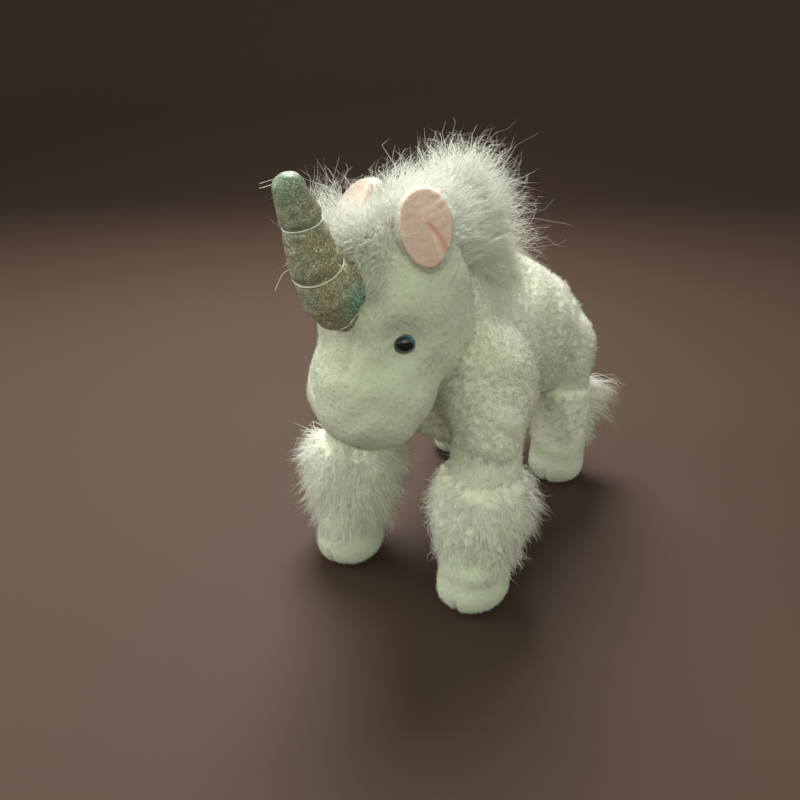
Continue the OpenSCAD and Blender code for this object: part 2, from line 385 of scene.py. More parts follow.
def material(name, color, rough=0.9, metallic=0.0, **sockets):
    m = bpy.data.materials.new(name)
    m.use_nodes = True
    b = m.node_tree.nodes["Principled BSDF"]
    b.inputs["Base Color"].default_value = (*color, 1)
    b.inputs["Roughness"].default_value = rough
    b.inputs["Metallic"].default_value = metallic
    for k, v in sockets.items():
        b.inputs[k.replace("_", " ")].default_value = v
    return m


def node(m, kind, **values):
    n = m.node_tree.nodes.new(kind)
    for k, v in values.items():
        if hasattr(n, k):
            setattr(n, k, v)
        else:
            n.inputs[k.replace("_", " ")].default_value = v
    return n


def link(m, a, out, b, inp):
    m.node_tree.links.new(a.outputs[out], b.inputs[inp])


def ramp(m, stops):
    n = m.node_tree.nodes.new("ShaderNodeValToRGB")
    e = n.color_ramp.elements
    while len(e) < len(stops):
        e.new(0.5)
    for i, (at, c) in enumerate(stops):
        e[i].position = at
        e[i].color = (*c, 1)
    return n


def fabric(name, low, high, scale, bump, distance, rough=0.95, sheen=0.35, extra=None):
    """Pile fabric: mottled colour, and a fine bump of tufts."""
    m = material(name, high, rough, Sheen_Weight=sheen, Sheen_Roughness=0.6)
    m.node_tree.nodes["Principled BSDF"].inputs["Specular IOR Level"].default_value = 0.2
    b = m.node_tree.nodes["Principled BSDF"]
    geo = node(m, "ShaderNodeTexCoord")
    big = node(m, "ShaderNodeTexNoise", Scale=scale * 0.09, Detail=4.0, Roughness=0.6)
    fine = node(m, "ShaderNodeTexNoise", Scale=scale, Detail=5.0, Roughness=0.65)
    cells = node(m, "ShaderNodeTexVoronoi", Scale=scale * 0.45)
    for n in (big, fine, cells):
        link(m, geo, "Object", n, "Vector")
    mix = node(m, "ShaderNodeMath", operation="MULTIPLY_ADD")
    mix.inputs[1].default_value = 0.55
    link(m, big, "Fac", mix, 0)
    scaled = node(m, "ShaderNodeMath", operation="MULTIPLY")
    scaled.inputs[1].default_value = 0.45
    link(m, fine, "Fac", scaled, 0)
    link(m, scaled, 0, mix, 2)
    r = ramp(m, [(0.36, low), (0.62, high)])
    link(m, mix, 0, r, "Fac")
    link(m, r, "Color", b, "Base Color")
    height = node(m, "ShaderNodeMath", operation="SUBTRACT")
    link(m, fine, "Fac", height, 0)
    link(m, cells, "Distance", height, 1)
    bp = node(m, "ShaderNodeBump", Strength=bump, Distance=distance)
    link(m, height, 0, bp, "Height")
    link(m, bp, "Normal", b, "Normal")
    return m


def hair(name, color, rough=0.7, sheen=0.25, **extra):
    return material(
        name, color, rough, Sheen_Weight=sheen, Specular_IOR_Level=0.35, **extra
    )


IVORY = (0.80, 0.80, 0.71)
m_nubbly = fabric("nubbly_pile_ground", (0.78, 0.765, 0.67), (0.88, 0.87, 0.79), 900, 0.4, 0.0005)
# Face, ear-back and hoof pile: the fabric is white to ivory, and these colours are dimmed and tinted green as painted
# shade and painted green light.
m_smooth = fabric("smooth_pile_ground", (0.68, 0.715, 0.60), (0.76, 0.795, 0.68), 1500, 0.35, 0.0003)
m_hoof = fabric("hoof_pile_ground", (0.64, 0.68, 0.57), (0.73, 0.77, 0.65), 1300, 0.4, 0.0004)
# The fur ground under the long hair is creamier and a little darker than the strands: painted shade of the fur's lower
# layers.
m_furground = fabric("fur_ground", (0.90, 0.875, 0.77), (0.96, 0.95, 0.87), 700, 0.5, 0.0006)
m_pile = hair("pile_hair_white", (0.90, 0.90, 0.82))
m_pile2 = hair("pile_hair_ivory", (0.86, 0.855, 0.76))
# Nap hairs: two tones mixed at random, both dimmed and tinted green as painted shade and painted green light on a white
# fabric.
m_nap = hair("nap_hair_white", (0.77, 0.805, 0.69))
m_nap2 = hair("nap_hair_white_painted_green_shade", (0.72, 0.76, 0.64))
m_fur = hair("fur_hair_white", (0.985, 0.985, 0.96), rough=0.5)
m_fur2 = hair("fur_hair_cream", (0.96, 0.935, 0.84), rough=0.55)
m_fur3 = hair("fur_hair_pale", (0.97, 0.965, 0.91), rough=0.5)
m_tinsel = hair(
    "tinsel_hair",
    (0.80, 0.90, 0.88),
    rough=0.12,
    metallic=0.75,
    Thin_Film_Thickness=420.0,
    Thin_Film_IOR=1.5,
)
m_tinsel_blue = hair("tinsel_hair_blue", (0.30, 0.55, 0.85), rough=0.15, metallic=0.8)
m_thread = fabric("sewing_thread", (0.60, 0.60, 0.52), (0.84, 0.83, 0.75), 3000, 0.5, 0.0002, rough=0.6)
m_stitch = fabric("brown_thread", (0.40, 0.31, 0.22), (0.58, 0.47, 0.36), 3000, 0.5, 0.0002, rough=0.7)

# ---------------------------------------------------------------- torso

HINGE = {
    "front_left": ((34, -44, 90), (34, -54)),
    "front_right": ((-34, -44, 90), (-34, -54)),
    "rear_left": ((33, 66, 92), (33, 74)),
    "rear_right": ((-33, 66, 92), (-33, 74)),
}


def torso_f(p):
    q = raw(p)
    f = egg(q, (0, -12, 97), (35.5, 36, 36))
    f = smin(f, egg(q, (0, 50, 97), (38, 41, 40)), 9)
    f = smin(f, limb(q, (0, -8, 96), (0, 44, 98), 34.5, 35.5), 8)
    f = smin(f, limb(q, (0, -12, 112), (0, -34, 123), 30, 27.5), 9)
    side = np.abs(q[:, 0])
    m = np.stack([side, q[:, 1], q[:, 2]], 1)
    f = smin(f, egg(m, (30, -38, 101), (18.5, 20, 27)), 9)
    f = smin(f, limb(m, (34, -44, 92), (35, -47, 82), 15.2, 14.8), 6)
    f = smin(f, egg(m, (22, 60, 92), (18.5, 27, 30)), 9)
    f = smin(f, limb(m, (33, 66, 90), (33, 68, 80), 15.4, 15.2), 6)
    return f


def groove(x, width, depth):
    return -depth * np.exp(-((x / width) ** 2))


def torso_shape(v, g):
    q = raw(v)
    n = waves(v, 6.5, 40, 11)
    fine = waves(v, 3.2, 30, 12)
    big = waves(v, 26, 16, 13)
    off = 0.60 * (1 - np.abs(n)) + 0.2 * fine + 0.7 * big - 0.4
    off += groove(q[:, 0], 1.6, 1.0) * (q[:, 2] > 96)
    m = np.abs(q[:, 0])
    for h in ((34, -44, 90), (33, 66, 92)):
        r = np.sqrt((m - h[0] * 0.93) ** 2 + (q[:, 1] - h[1]) ** 2 + (q[:, 2] - h[2] - 1) ** 2)
        near = (q[:, 2] > h[2] - 4) & (m > 18)
        off += groove(r - 24, 2.6, 1.5) * near
    return v + g * off[:, None]


torso, tv, tq = skin(
    "torso_skin", torso_f, (-58, -78, 50), (58, 98, 160), 1.35, [m_nubbly], torso_shape
)
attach(torso, "torso")
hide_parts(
    "body_left_panel",
    "body_right_panel",
    "belly_panel",
    "chest_top_stuffing",
    "chest_core_stuffing",
    "waist_stuffing",
    "rump_top_stuffing",
    "rump_core_stuffing",
    "pellet_pouch",
)


def in_leg(p, grow=0.0):
    """How deep points are inside the legs, less than 0 inside."""
    q = raw(p)
    d = np.full(len(p), 1e3)
    for h, foot in HINGE.values():
        d = np.minimum(d, limb(q, h, (foot[0], foot[1], 30), 15.6 + grow, 15))
    return d


def pile(name, verts, quads, f, n, length, radius, body, seed, keep, comb=(0, 0, -0.3), curl=0.9,
         mats=None, share=(0.72, 0.28), k=2, gather=0.5, blend=None):
    rng = np.random.default_rng(seed)
    roots = scatter(verts, quads, int(n * DENSE), rng, keep)
    g = unit(gradient(f, roots))
    eps = 1.2
    pull = np.zeros_like(roots)
    for a in range(3):
        d = np.zeros(3)
        d[a] = eps
        pull[:, a] = (
            np.abs(waves(roots - d, 6.5, 40, 11)) - np.abs(waves(roots + d, 6.5, 40, 11))
        ) / (2 * eps)
    pull -= (pull * g).sum(1, keepdims=True) * g
    comb = np.asarray(comb, float)
    comb = comb - (g @ comb)[:, None] * g
    d = g + pull * gather * 1.6 + comb + rng.normal(size=roots.shape) * 0.32
    ln = length * rng.uniform(0.7, 1.2, len(roots))
    paths = hair_paths(roots - g * 0.4, d, ln, k, rng, curl=curl, frizz=0.1)
    obj = strands(name, paths, radius * rng.uniform(0.8, 1.25, len(roots)), mats or [m_pile, m_pile2], share, seed)
    if blend:
        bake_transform(obj)
    else:
        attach(obj, body)
    return obj


def head_f(p):
    q = to_head(p)
    f = egg(q, (0, -61, 144.5), (30.5, 31, 30.5))
    f = smin(f, egg(q, (0, -51, 128), (28.5, 25, 26)), 8)
    f = smin(f, limb(q, (0, -66, 132), (0, -72, 112), 25, 22.5), 7)
    f = smin(f, egg(q, (0, -74.5, 102.5), (24, 22.5, 22.5)), 14)
    m = np.stack([np.abs(q[:, 0]), q[:, 1], q[:, 2]], 1)
    f = smax(f, -ball(m, (29, -82, 130.5), 10), 6)
    return f


def head_shape(v, g):
    q = to_head(v)
    off = 0.30 * waves(v, 14, 20, 21) + 0.12 * waves(v, 3.0, 30, 22)
    front = q[:, 1] < -60
    off += groove(np.abs(q[:, 0]) - 8, 1.3, 0.7) * front * (q[:, 2] > 118)
    off += groove(q[:, 0], 1.4, 0.8) * (q[:, 2] < 90)
    mouth = np.hypot(q[:, 1] + 86, q[:, 2] - 85)
    off += groove(mouth, 2.6, 1.3) * (np.abs(q[:, 0]) < 8)
    return v + g * off[:, None]


head, hv, hq = skin(
    "head_skin", head_f, (-48, -112, 70), (36, -14, 180), 1.15, [m_smooth], head_shape
)
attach(head, "head")
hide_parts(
    "face_left_panel", "face_right_panel", "face_gusset", "chin_panel", "head_stuffing"
)


def neck_f(p):
    q = raw(p)
    return limb(q, (0, -36, 116), (0, -42, 121), 25.5, 25)


neck, nv, nq = skin(
    "neck_skin",
    neck_f,
    (-30, -74, 84),
    (30, -4, 152),
    1.6,
    [m_nubbly],
    lambda v, g: v + g * (0.7 * (1 - np.abs(waves(v, 6.5, 40, 11))) + 0.2 * waves(v, 3.2, 30, 12))[:, None],
)
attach(neck, "neck")
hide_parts("neck_cover", "neck_stuffing")

# ---------------------------------------------------------------- legs

LEG = {}
for key, (h, foot) in HINGE.items():
    s = 1 if h[0] > 0 else -1
    front = key.startswith("front")
    body = key + "_leg"
    top, low = (h[0], h[1], h[2]), (foot[0], foot[1], 26)

    def leg_f(p, top=top, low=low, s=s, front=front):
        q = raw(p)
        f = limb(q, top, low, 15.2, 14.2)
        if not front:
            f = smin(f, egg(q, (s * 32, 66, 84), (15.5, 17, 19)), 5)
        return f

    def leg_shape(v, g, key=key):
        off = 0.22 * (1 - np.abs(waves(v, 6.5, 40, 11))) + 0.14 * waves(v, 3.2, 30, 12)
        off += 0.5 * waves(v, 22, 14, 31)
        if key == "rear_left" or key == "rear_right":
            off += groove(v[:, 2] - 50, 1.3, 0.9)
        return v + g * off[:, None]

    x, y = h[0], (h[1] + foot[1]) / 2
    leg, lv, lq = skin(
        key + "_leg_skin", leg_f, (x - 20, y - 28, 8), (x + 20, y + 28, 112), 1.4, [m_nubbly], leg_shape
    )
    a = (x * MM, (h[1] + Y_MID) * MM, (h[2] + 7) * MM)
    b = (x * MM, (h[1] + Y_MID) * MM, (h[2] - 17) * MM)
    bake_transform(leg)
    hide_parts(key + "_leg_cover", key + "_leg_stuffing")

    def hoof_f(p, foot=foot, front=front):
        q = raw(p)
        c = (foot[0] + (0.8 if foot[0] > 0 else 0), foot[1] - 0.8)
        f = slab_round(q, c, 15.7, 17.2, 0.6, 30, 7.5)
        f = smin(f, egg(q, (c[0], c[1] - 1.5, 11), (15.1, 17.2, 10.4)), 3)
        return smax(f, 0.35 - q[:, 2], 1.0)

    def hoof_shape(v, g, foot=foot):
        q = raw(v)
        x = q[:, 0] - foot[0]
        toe = smooth((foot[1] - 6 - q[:, 1]) / 8) * smooth((16 - q[:, 2]) / 10)
        off = groove(x, 1.1, 1.3) * toe + 0.22 * waves(v, 13, 16, 41) + 0.07 * waves(v, 3, 30, 42)
        off += groove(q[:, 2] - 25, 1.8, 0.25)
        out = v + g * off[:, None]
        out[:, 2] = np.maximum(out[:, 2], 0.05)
        return out

    hoof, ov, oq = skin(
        key + "_hoof_skin",
        hoof_f,
        (foot[0] - 20, foot[1] - 24, -2),
        (foot[0] + 20, foot[1] + 21, 33),
        1.0,
        [m_hoof],
        hoof_shape,
    )
    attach(hoof, body)
    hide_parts(key + "_hoof")

    def cuff_f(p, h=h, foot=foot, s=s, front=front):
        q = raw(p)
        lean = (h[1] - foot[1]) / (h[2] - 12)
        q = q - np.stack([np.zeros(len(q)), foot[1] + (q[:, 2] - 12) * lean, np.zeros(len(q))], 1)
        q[:, 0] -= foot[0]
        ang = np.arctan2(q[:, 1], q[:, 0] * s)
        r = np.hypot(q[:, 0], q[:, 1])
        z = q[:, 2]
        prof = 15.5 + (4.2 if front else 1.6) * smooth((z - 24) / 24) * smooth((74 - z) / 16)
        lobes = 1.0 * np.sin(3 * ang + z * 0.07) + 0.8 * np.sin(5 * ang + 1.3 + z * 0.12)
        side = r - prof - lobes * 0.6
        return smax(smax(side * 0.9, 23 - z, 3), z - 65, 5)

    cuff, cv, cq = skin(
        key + "_cuff_ground",
        cuff_f,
        (foot[0] - 27, min(h[1], foot[1]) - 27, 18),
        (foot[0] + 27, max(h[1], foot[1]) + 27, 70),
        1.5,
        [m_furground],
        lambda v, g, front=front: v + g * ((0.8 if front else 0.2) * waves(v, 5, 30, 51))[:, None],
    )
    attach(cuff, body)
    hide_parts(key + "_cuff")
    LEG[key] = dict(leg=(lv, lq, leg_f), hoof=(ov, oq, hoof_f), cuff=(cv, cq, cuff_f), blend=("torso", body, a, b), body=body, s=s, foot=foot, front=front)

# ---------------------------------------------------------------- pile on body and legs

for sign, word in ((1, "left"), (-1, "right")):
    pile(
        f"torso_pile_{word}",
        tv,
        tq,
        torso_f,
        33500,
        3.0,
        0.155,
        "torso",
        60 + sign,
        lambda c, sign=sign: (c[:, 0] * sign > 0) * (in_leg(c) > -1) * (np.minimum(head_f(c), neck_f(c) + 1) > -1.5),
        comb=(0, 0.35, -0.5),
    )
pile("neck_pile", nv, nq, neck_f, 5000, 2.4, 0.23, "neck", 63, lambda c: (torso_f(c) > -1.5) * (head_f(c) > -1.5) + 1e-9)

for i, (key, L) in enumerate(LEG.items()):
    v, q, f = L["leg"]
    pile(
        key + "_leg_pile",
        v,
        q,
        f,
        6600,
        2.0,
        0.14,
        None,
        70 + i,
        lambda c: (torso_f(c) > -1.0) * (c[:, 2] > 50) + 1e-9,
        comb=(0, 0, -0.6),
        curl=0.5,
        blend=L["blend"],
    )
    v, q, f = L["hoof"]
    pile(
        key + "_hoof_nap",
        v,
        q,
        f,
        6500,
        1.5,
        0.12,
        L["body"],
        80 + i,
        lambda c: (c[:, 2] > 1.2) * 1.0,
        comb=(0, 0, -0.25),
        curl=0.15,
        mats=[m_nap, m_nap2, m_tinsel],
        share=(0.62, 0.375, 0.005),
        k=2,
        gather=0.1,
    )

pile(
    "face_nap",
    hv,
    hq,
    head_f,
    37400,
    1.35,
    0.115,
    "head",
    90,
    lambda c: ((torso_f(c) > -1.0) & (np.linalg.norm(to_head(c) * [1, 1, 1] - [0, -88, 146], axis=1) > 11)) + 1e-9,
    comb=(0, -0.25, -0.55),
    curl=0.15,
    mats=[m_nap, m_nap2, m_tinsel],
    share=(0.62, 0.377, 0.003),
    k=2,
    gather=0.12,
)

# ---------------------------------------------------------------- long fur


def long_fur(name, roots, direction, length, body, seed, bend=(0, 0, -0.4), k=5, radius=0.2, clump=0.55,
             clump_size=6.0, curl=1.0, frizz=0.07, mats=None, share=(0.62, 0.2, 0.17, 0.01), stray=0.14):
    rng = np.random.default_rng(seed)
    paths = hair_paths(roots, direction, length, k, rng, bend, curl, clump, clump_size, frizz, stray)
    paths[:, :, 2] = np.clip(paths[:, :, 2], 0.5, 211.5)
    paths[:, :, 0] = np.clip(paths[:, :, 0], -66, 66)
    obj = strands(
        name,
        paths,
        radius * rng.uniform(0.7, 1.3, len(roots)),
        mats or [m_fur, m_fur2, m_fur3, m_tinsel],
        share,
        seed,
    )
    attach(obj, body)
    return obj


CUFF = {
    # how far hairs stand out, their length, and extra length on the outer and back sides
    "front_left": (0.42, 8.5, 3.0),
    "front_right": (0.95, 11.5, 5.5),
    "rear_left": (0.55, 2.6, 25.0),
    "rear_right": (0.55, 2.6, 25.0),
}
for i, (key, L) in enumerate(LEG.items()):
    v, q, f = L["cuff"]
    flare, base_len, more = CUFF[key]
    rng = np.random.default_rng(100 + i)
    n = int((6000 if L["front"] else 4400) * DENSE)
    roots = scatter(v, q, n, rng, lambda c: (c[:, 2] > 25) * 1.0)
    g = unit(gradient(f, roots))
    centre = np.array([L["foot"][0], L["foot"][1] + Y_MID, 0.0])
    out = roots - centre
    out[:, 2] = 0
    out = unit(out)
    high = smooth((roots[:, 2] - 34) / 26)
    side = np.array([L["s"] * (1.0 if L["front"] else 0.85), 0.35 if L["front"] else 0.7, 0])
    d = out * (flare * (0.6 + 0.6 * high))[:, None] + np.array([0, 0, -1.0]) * (1 - 0.45 * high)[:, None]
    d += side * 0.12 + g * 0.1 + rng.normal(size=roots.shape) * 0.36
    toward = np.maximum((out * unit(side)).sum(1), 0) ** (2 if L["front"] else 6)
    if not L["front"]:
        d = d + unit(side) * (toward * 1.1)[:, None]
    ln = (base_len + more * toward * (0.4 + 0.6 * high)) * rng.uniform(0.6, 1.25, n)
    long_fur(
        key + "_cuff_fur", roots - g * 0.5, d, ln, L["body"], 110 + i, bend=(0, 0, -0.25), k=4, radius=0.125, clump=0.72,
        clump_size=4.5, curl=2.3, frizz=0.15, stray=0.3,
    )

# ---------------------------------------------------------------- mane, crest and forelock


def mane_f(p):
    q = raw(p)
    f = limb(q, (0, -10, 150), (0, -15, 177), 8, 5)
    f = smin(f, limb(q, (0, -15, 177), (0, 6, 165), 5, 5), 8)
    f = smin(f, limb(q, (0, 6, 165), (0, 34, 138), 5, 6), 8)
    f = smin(f, limb(q, (0, 4, 140), (0, 34, 131), 10, 8), 8)
    f = smin(f, limb(q, (0, -14, 146), (0, 0, 132), 11, 12), 8)
    return f


mane, mv, mq = skin(
    "mane_ground", mane_f, (-26, -36, 112), (26, 62, 200), 1.6, [m_furground],
    lambda v, g: v + g * (1.1 * waves(v, 7, 30, 61))[:, None],
)
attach(mane, "torso")
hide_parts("mane")

rng = np.random.default_rng(120)
for part, (word, sgn) in enumerate((("left", 1), ("right", -1))):
    n = int(5300 * DENSE)
    roots = scatter(mv, mq, n, rng, lambda c, sgn=sgn: (c[:, 0] * sgn > -0.6) * (torso_f(c) > -2) * (head_f(c) > 0))
    g = unit(gradient(mane_f, roots))
    up = smooth((roots[:, 2] - 148) / 27)
    d = g * 0.75 + np.array([0, 0.1, 1.0]) * up[:, None] + np.array([0, 0.5, -0.35]) * (1 - up)[:, None]
    d += rng.normal(size=roots.shape) * 0.3
    ln = (13 + 13 * up) * (0.4 + 0.85 * rng.random(n) ** 1.4)
    ln = np.minimum(ln, np.maximum(212 - roots[:, 2], 6) * 1.05)
    long_fur(f"mane_fur_{word}", roots - g, d, ln, "torso", 121 + part, bend=(0, 0.12, -0.3), k=5, radius=0.115, clump=0.45,
             clump_size=5, curl=3.0, frizz=0.17, stray=0.35)

# Loose curly ends that stand out of the mane
rng = np.random.default_rng(125)
n = int(1500 * max(DENSE, 0.6))
roots = scatter(mv, mq, n, rng, lambda c: (c[:, 2] > 138) * (head_f(c) > 0) * 1.0)
g = unit(gradient(mane_f, roots))
d = g * 0.6 + np.array([0, 0.1, 0.6]) + rng.normal(size=roots.shape) * 0.45
ln = np.minimum(rng.uniform(16, 33, n), (212 - roots[:, 2]) * 1.05)
long_fur("mane_wisps", roots - g, d, ln, "torso", 126, bend=(0, 0.25, -0.3), k=7, radius=0.085, clump=0, curl=4.0, frizz=0.1,
         mats=[m_fur, m_fur3, m_tinsel, m_tinsel_blue], share=(0.6, 0.36, 0.03, 0.01))

# Fur on the back of the head, behind the ears
rng = np.random.default_rng(130)
n = int(4500 * DENSE)


def crest_zone(c):
    q = to_head(c)
    return (np.abs(q[:, 0]) < 13) * (q[:, 1] > -58) * (q[:, 2] > 150) * 1.0


roots = scatter(hv, hq, n, rng, crest_zone)
q = to_head(roots)
g = unit(gradient(head_f, roots))
lean = turn_vec(np.array([0, 0.35, 0.75]), TURN)
d = g * 0.8 + lean + rng.normal(size=roots.shape) * 0.22
ln = 27 * (0.4 + 0.8 * rng.random(n) ** 1.3)
ln = np.minimum(ln, 211 - roots[:, 2])
crest = long_fur("crest_fur", roots - g, d, ln, "head", 131, bend=turn_vec(np.array([0, 0.2, -0.3]), TURN), k=5, radius=0.115,
                 clump=0.45, clump_size=5, curl=3.0, frizz=0.17, stray=0.35)
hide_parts("crest")

# Where the ears stand: the foot of each ear, the way it faces and the way it points, in the head frame
EAR = {
    1: dict(root=np.array([27.4, -69.5, 158.2]), n=unit(np.array([0.60, -0.68, 0.38])), up=np.array([-0.34, 0.20, 0.90])),
    -1: dict(root=np.array([-22.0, -68.0, 159.5]), n=unit(np.array([-0.25, -0.85, 0.46])), up=np.array([0.30, 0.22, 0.92])),
}


def ear_frame(s):
    """Columns: across the ear, out of its back, and up it, in the head frame."""
    n = EAR[s]["n"]
    up = EAR[s]["up"]
    up = unit(up - (up @ n) * n)
    back = -n
    return np.stack([np.cross(back, up), back, up], 1)


def ear_gap(p):
    """About how far points are in front of or beside an ear, less than 0 on it."""
    out = np.full(len(p), 99.0)
    for e in (1, -1):
        x, y, z = ((to_head(p) - EAR[e]["root"]) @ ear_frame(e)).T
        oval = (np.sqrt((x / 10.0) ** 2 + ((z - 15) / 15.6) ** 2) - 1) * 10
        front = np.where(y > 1, np.abs(y), 0)
        out = np.minimum(out, np.hypot(np.maximum(oval, 0), front) + np.minimum(oval, 0) * (front == 0))
    return out


# Forelock between the ears: short and curly in front, wispy on top
rng = np.random.default_rng(140)
n = int(6300 * DENSE)


def lock_zone(c):
    q = to_head(c)
    return (np.abs(q[:, 0]) < 19) * (q[:, 1] <= -50) * (q[:, 2] > 152) * (
        np.linalg.norm(q - [0, -88, 146], axis=1) > 12
    ) * 1.0


roots = scatter(hv, hq, n, rng, lock_zone)
q = to_head(roots)
g = unit(gradient(head_f, roots))
rise = smooth((q[:, 2] - 156) / 14)
d = g * (0.5 + 0.5 * rise)[:, None] + turn_vec(np.array([0, -0.1, 0.35]), TURN) * rise[:, None]
d += turn_vec(np.array([0, -0.25, -0.7]), TURN) * (1 - rise)[:, None] + rng.normal(size=roots.shape) * 0.3
ln = (7.5 + 14.5 * rise) * (0.45 + 0.75 * rng.random(n) ** 1.2)
near = ear_gap(roots)
ln = np.minimum(ln, np.maximum(near - 1.0, 2.0) + 4.0 * rise)
d += turn_vec(np.stack([-np.sign(q[:, 0]) * smooth((9 - near) / 8) * 0.8, 0 * rise, 0.4 * rise], 1), TURN)
lock = long_fur("forelock_fur", roots - g, d, ln, "head", 141, bend=(0, 0, -0.3), k=4, radius=0.125, clump=0.5, clump_size=4,
                curl=2.4, frizz=0.16, share=(0.55, 0.25, 0.19, 0.01), stray=0.25)
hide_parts("forelock")

# Loose long wisps over the top
rng = np.random.default_rng(150)
n = int(900 * max(DENSE, 0.6))
roots = scatter(hv, hq, n, rng, lambda c: (to_head(c)[:, 2] > 163) * (np.abs(to_head(c)[:, 0]) < 24) * (ear_gap(c) > 3))
q = to_head(roots)
g = unit(gradient(head_f, roots))
d = g + np.array([0, 0, 0.5]) + rng.normal(size=roots.shape) * 0.4
ln = np.minimum(rng.uniform(14, 30, n), (212 - roots[:, 2]) * 1.05)
long_fur("head_wisps", roots - g, d, ln, "head", 151, bend=(0.0, 0.1, -0.35), k=7, radius=0.085, clump=0, curl=4.2, frizz=0.1,
         mats=[m_fur, m_fur3, m_tinsel, m_tinsel_blue], share=(0.6, 0.34, 0.05, 0.01))

# A tuft in front of the right ear that curls up behind the horn
rng = np.random.default_rng(155)
n = int(520 * max(DENSE, 0.6))
roots = scatter(hv, hq, n, rng, lambda c: (np.linalg.norm(to_head(c) - [-13, -80, 164], axis=1) < 9) * 1.0)
g = unit(gradient(head_f, roots))
d = g * 0.5 + turn_vec(np.array([-0.05, 0.1, 1.0]), TURN) + rng.normal(size=roots.shape) * 0.35
long_fur("forelock_wisps", roots - g, d, rng.uniform(10, 27, n), "head", 156, bend=turn_vec(np.array([-0.2, 0.0, -0.15]), TURN),
         k=7, radius=0.08, clump=0, curl=4.2, frizz=0.13, mats=[m_fur, m_fur3, m_tinsel], share=(0.6, 0.37, 0.03))

# ---------------------------------------------------------------- tail


def tail_f(p):
    q = raw(p)
    f = limb(q, (0, 86, 114), (0, 96, 104), 6, 8)
    return smin(f, limb(q, (0, 96, 104), (0, 104, 58), 8, 7.5), 5)


tail, av, aq = skin("tail_ground", tail_f, (-14, 72, 44), (14, 118, 126), 1.5, [m_furground],
                    lambda v, g: v + g * (0.8 * waves(v, 6, 30, 71))[:, None])
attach(tail, "tail")
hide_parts("tail_hair", "tail_tab")
rng = np.random.default_rng(160)
n = int(4200 * DENSE)
roots = scatter(av, aq, n, rng)
g = unit(gradient(tail_f, roots))
d = g * 0.5 + np.array([0, 0.1, -1.0]) + rng.normal(size=roots.shape) * 0.15
long_fur("tail_fur", roots - g * 0.5, d, 14 * rng.uniform(0.6, 1.25, n), "tail", 161, bend=(0, 0, -0.3), k=4, radius=0.2,
         clump=0.6, clump_size=5, curl=1.2)

# ---------------------------------------------------------------- ears

CAM_AZ, CAM_EL = math.radians(30.1), math.radians(25.0)


